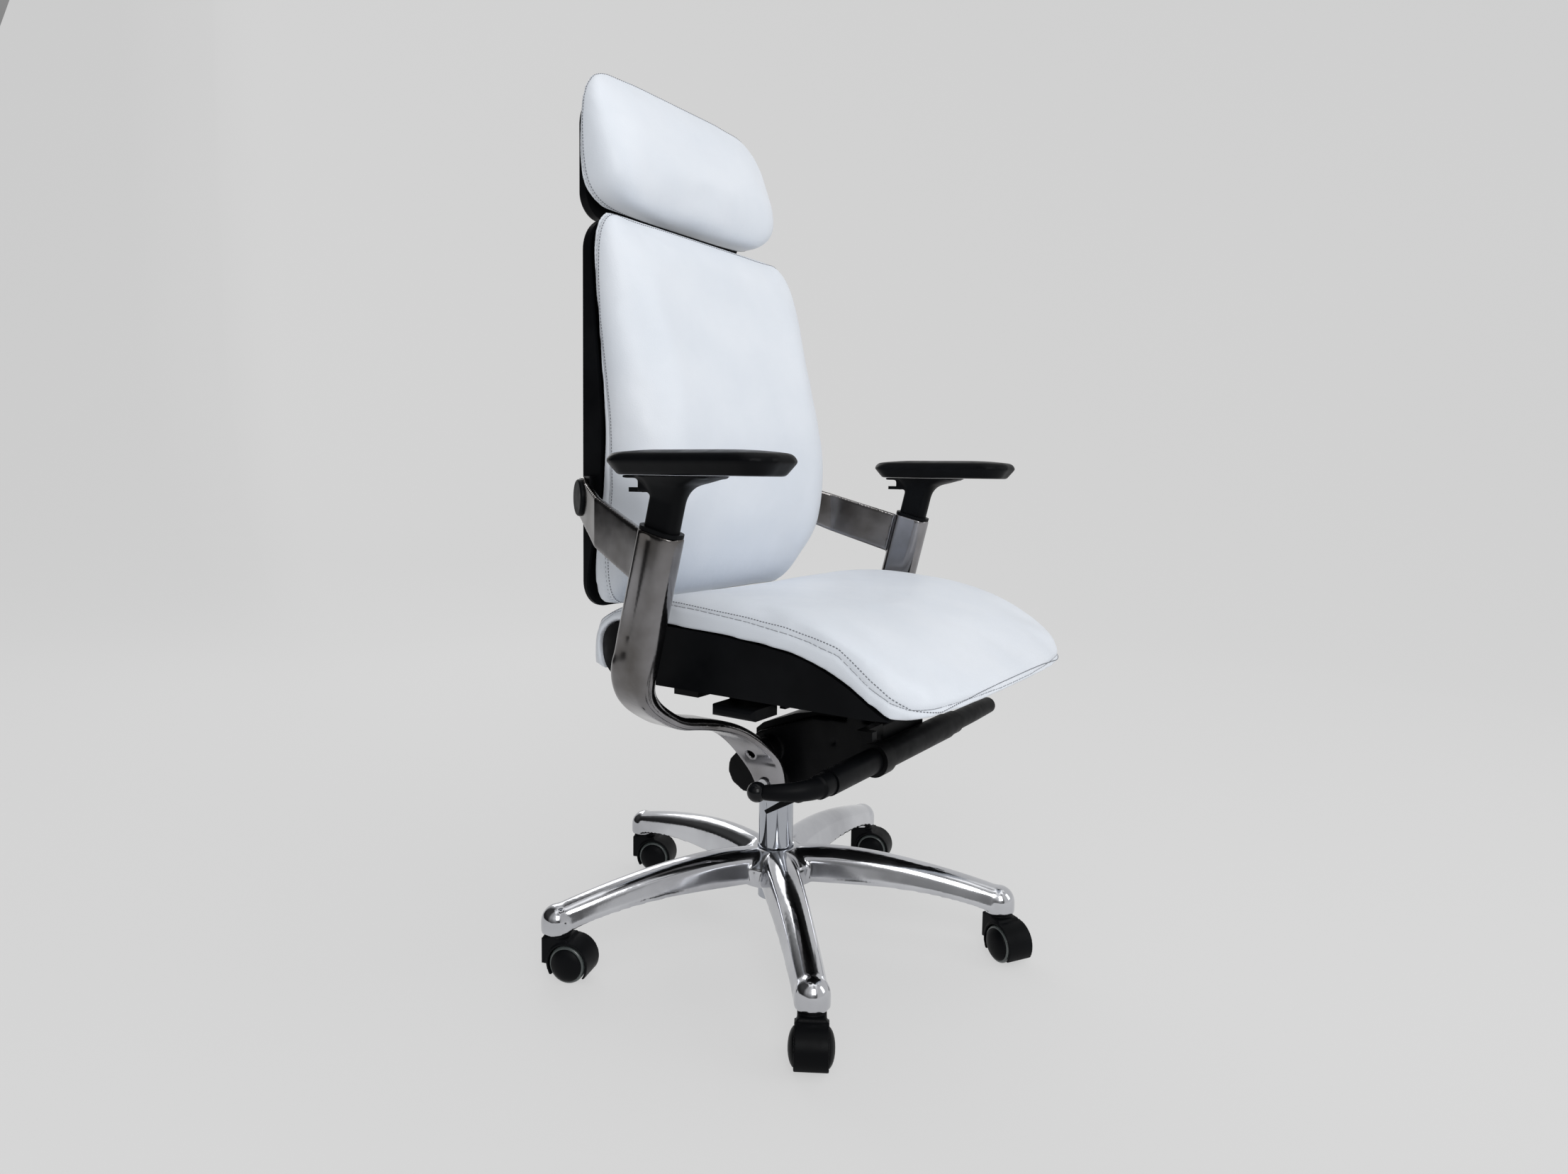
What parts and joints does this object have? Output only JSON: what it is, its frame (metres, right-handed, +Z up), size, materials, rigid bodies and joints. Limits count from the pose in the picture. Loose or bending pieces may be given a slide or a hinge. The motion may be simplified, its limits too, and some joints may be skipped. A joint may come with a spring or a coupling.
{
  "type": "swivel office chair",
  "caption": "High-backed swivel office chair with padded seat, back and headrest, height-adjustable armrests, synchronised tilt and a star base on twin-wheel casters.",
  "frame": {"origin": "on the floor under the column's axis", "axes": "+Z up along the column, the chair faces -Y, the sitter's right is -X"},
  "size_m": [0.73, 0.6957, 1.218],
  "materials": {
    "polished_aluminium": "polished",
    "arm_metal": "polished",
    "chrome": "mirror",
    "steel": "brushed",
    "black_metal": "satin",
    "black_plastic": "satin",
    "gloss_black": "gloss",
    "pad_black": "satin",
    "white_leather": "fine grain",
    "wheel_tread": "matte"
  },
  "bodies": {
    "base": {"star_base": "polished_aluminium", "lift_column": "chrome", "column_bush": "black_plastic"},
    "swivel": {"piston_rod": "steel"},
    "lift": {"gas_cylinder": "black_metal", "mechanism_housing": "black_metal", "mechanism_cover": "black_plastic", "tension_springs": "steel", "control_tube": "steel", "control_cover": "black_plastic", "tube_clamp": "black_metal"},
    "recline": {"pivot_shaft": "steel", "arm_frame_right": "arm_metal", "arm_frame_left": "arm_metal", "arm_collar_right": "black_plastic", "arm_collar_left": "black_plastic", "frame_bolts": "black_metal", "back_shell": "black_plastic", "back_cushion": "white_leather", "back_brackets": "black_metal", "pivot_caps": "black_plastic"},
    "seat_tilt": {"seat_carrier": "black_metal", "tilt_pin": "steel"},
    "seat_slide": {"seat_pan": "black_plastic", "seat_cushion": "white_leather"},
    "slide_lever": {"slide_lever": "black_plastic"},
    "arm_right": {"arm_post_right": "black_plastic", "arm_pad_right": "pad_black"},
    "arm_left": {"arm_post_left": "black_plastic", "arm_pad_left": "pad_black"},
    "arm_paddle_right": {"arm_paddle_right": "black_plastic"},
    "arm_paddle_left": {"arm_paddle_left": "black_plastic"},
    "height_paddle": {"height_paddle": "black_plastic"},
    "tension": {"tension_handle": "black_plastic", "tension_knob": "gloss_black"},
    "tilt_lock": {"tilt_lock_grip": "black_plastic"},
    "headrest_slide": {"headrest_rail": "black_metal"},
    "headrest": {"headrest_shell": "black_plastic", "headrest_cushion": "white_leather", "headrest_pin": "steel"},
    "caster_1": {"caster_hood_1": "black_plastic", "caster_pins_1": "steel"},
    "wheel_left_1": {"wheel_left_1": "wheel_tread"},
    "wheel_right_1": {"wheel_right_1": "wheel_tread"},
    "caster_2": {"caster_hood_2": "black_plastic", "caster_pins_2": "steel"},
    "wheel_left_2": {"wheel_left_2": "wheel_tread"},
    "wheel_right_2": {"wheel_right_2": "wheel_tread"},
    "caster_3": {"caster_hood_3": "black_plastic", "caster_pins_3": "steel"},
    "wheel_left_3": {"wheel_left_3": "wheel_tread"},
    "wheel_right_3": {"wheel_right_3": "wheel_tread"},
    "caster_4": {"caster_hood_4": "black_plastic", "caster_pins_4": "steel"},
    "wheel_left_4": {"wheel_left_4": "wheel_tread"},
    "wheel_right_4": {"wheel_right_4": "wheel_tread"},
    "caster_5": {"caster_hood_5": "black_plastic", "caster_pins_5": "steel"},
    "wheel_left_5": {"wheel_left_5": "wheel_tread"},
    "wheel_right_5": {"wheel_right_5": "wheel_tread"}
  },
  "joints": [
    {"name": "seat_swivel", "type": "hinge", "parent": "base", "child": "swivel", "pos_m": [0, 0, 0.1], "axis": [0, 0, 1], "continuous": true},
    {"name": "height", "type": "slide", "parent": "swivel", "child": "lift", "axis": [0, 0, 1], "range_m": [0, 0.1]},
    {"name": "back_recline", "type": "hinge", "parent": "lift", "child": "recline", "pos_m": [0, -0.04, 0.25], "axis": [-1, 0, 0], "range_deg": [0, 18], "stiffness_Nm_per_rad": 80, "springref_deg": -28.65},
    {"name": "seat_rear_tilt", "type": "hinge", "parent": "lift", "child": "seat_tilt", "pos_m": [0, -0.16, 0.367], "axis": [-1, 0, 0], "range_deg": [0, 8.13]},
    {"name": "seat_depth", "type": "slide", "parent": "seat_tilt", "child": "seat_slide", "axis": [0, -1, 0], "range_m": [0, 0.05]},
    {"name": "slide_release", "type": "hinge", "parent": "seat_slide", "child": "slide_lever", "pos_m": [-0.19, -0.1, 0.395], "axis": [0, 1, 0], "range_deg": [0, 10.31], "stiffness_Nm_per_rad": 1, "springref_deg": -5.73},
    {"name": "arm_height_right", "type": "slide", "parent": "recline", "child": "arm_right", "axis": [0, -0.2385, 0.9711], "range_m": [-0.02, 0.06]},
    {"name": "arm_release_right", "type": "hinge", "parent": "arm_right", "child": "arm_paddle_right", "pos_m": [-0.32, -0.031, 0.648], "axis": [1, 0, 0], "range_deg": [0, 6.88], "stiffness_Nm_per_rad": 0.3, "springref_deg": -5.73},
    {"name": "arm_height_left", "type": "slide", "parent": "recline", "child": "arm_left", "axis": [0, -0.2385, 0.9711], "range_m": [-0.02, 0.06]},
    {"name": "arm_release_left", "type": "hinge", "parent": "arm_left", "child": "arm_paddle_left", "pos_m": [0.32, -0.031, 0.648], "axis": [1, 0, 0], "range_deg": [0, 6.88], "stiffness_Nm_per_rad": 0.3, "springref_deg": -5.73},
    {"name": "height_release", "type": "hinge", "parent": "lift", "child": "height_paddle", "pos_m": [-0.17, -0.215, 0.318], "axis": [1, 0, 0], "range_deg": [0, 11.46], "stiffness_Nm_per_rad": 1.5, "springref_deg": -8.59},
    {"name": "tension_turn", "type": "hinge", "parent": "lift", "child": "tension", "pos_m": [-0.24, -0.215, 0.318], "axis": [1, 0, 0], "continuous": true},
    {"name": "tilt_lock_turn", "type": "hinge", "parent": "lift", "child": "tilt_lock", "pos_m": [0.18, -0.215, 0.318], "axis": [1, 0, 0], "range_deg": [0, 45.84]},
    {"name": "headrest_height", "type": "slide", "parent": "recline", "child": "headrest_slide", "axis": [0, 0, 1], "range_m": [0, 0.06]},
    {"name": "headrest_tilt", "type": "hinge", "parent": "headrest_slide", "child": "headrest", "pos_m": [0, 0.236, 1.11], "axis": [-1, 0, 0], "range_deg": [0, 14.32]},
    {"name": "caster_swivel_1", "type": "hinge", "parent": "base", "child": "caster_1", "pos_m": [-0.27544, 0.16289, 0.06], "axis": [0, 0, 1], "continuous": true},
    {"name": "wheel_left_roll_1", "type": "hinge", "parent": "caster_1", "child": "wheel_left_1", "pos_m": [-0.26827, 0.14209, 0.025], "axis": [0.9455, 0.3256, 0], "continuous": true},
    {"name": "wheel_right_roll_1", "type": "hinge", "parent": "caster_1", "child": "wheel_right_1", "pos_m": [-0.26827, 0.14209, 0.025], "axis": [0.9455, 0.3256, 0], "continuous": true},
    {"name": "caster_swivel_2", "type": "hinge", "parent": "base", "child": "caster_2", "pos_m": [-0.24004, -0.21162, 0.06], "axis": [0, 0, 1], "continuous": true},
    {"name": "wheel_left_roll_2", "type": "hinge", "parent": "caster_2", "child": "wheel_left_2", "pos_m": [-0.25889, -0.22295, 0.025], "axis": [0.515, -0.8572, 0], "continuous": true},
    {"name": "wheel_right_roll_2", "type": "hinge", "parent": "caster_2", "child": "wheel_right_2", "pos_m": [-0.25889, -0.22295, 0.025], "axis": [0.515, -0.8572, 0], "continuous": true},
    {"name": "caster_swivel_3", "type": "hinge", "parent": "base", "child": "caster_3", "pos_m": [0.12709, -0.29368, 0.06], "axis": [0, 0, 1], "continuous": true},
    {"name": "wheel_left_roll_3", "type": "hinge", "parent": "caster_3", "child": "wheel_left_3", "pos_m": [0.11576, -0.31254, 0.025], "axis": [0.8572, -0.515, 0], "continuous": true},
    {"name": "wheel_right_roll_3", "type": "hinge", "parent": "caster_3", "child": "wheel_right_3", "pos_m": [0.11576, -0.31254, 0.025], "axis": [0.8572, -0.515, 0], "continuous": true},
    {"name": "caster_swivel_4", "type": "hinge", "parent": "base", "child": "caster_4", "pos_m": [0.31858, 0.03011, 0.06], "axis": [0, 0, 1], "continuous": true},
    {"name": "wheel_left_roll_4", "type": "hinge", "parent": "caster_4", "child": "wheel_left_4", "pos_m": [0.32427, 0.00886, 0.025], "axis": [0.9659, 0.2588, 0], "continuous": true},
    {"name": "wheel_right_roll_4", "type": "hinge", "parent": "caster_4", "child": "wheel_right_4", "pos_m": [0.32427, 0.00886, 0.025], "axis": [0.9659, 0.2588, 0], "continuous": true},
    {"name": "caster_swivel_5", "type": "hinge", "parent": "base", "child": "caster_5", "pos_m": [0.06981, 0.31229, 0.06], "axis": [0, 0, 1], "continuous": true},
    {"name": "wheel_left_roll_5", "type": "hinge", "parent": "caster_5", "child": "wheel_left_5", "pos_m": [0.07769, 0.29175, 0.025], "axis": [0.9336, 0.3584, 0], "continuous": true},
    {"name": "wheel_right_roll_5", "type": "hinge", "parent": "caster_5", "child": "wheel_right_5", "pos_m": [0.07769, 0.29175, 0.025], "axis": [0.9336, 0.3584, 0], "continuous": true}
  ],
  "couplings": [
    {"joint": "seat_rear_tilt", "follows": "back_recline", "ratio": 0.45}
  ]
}
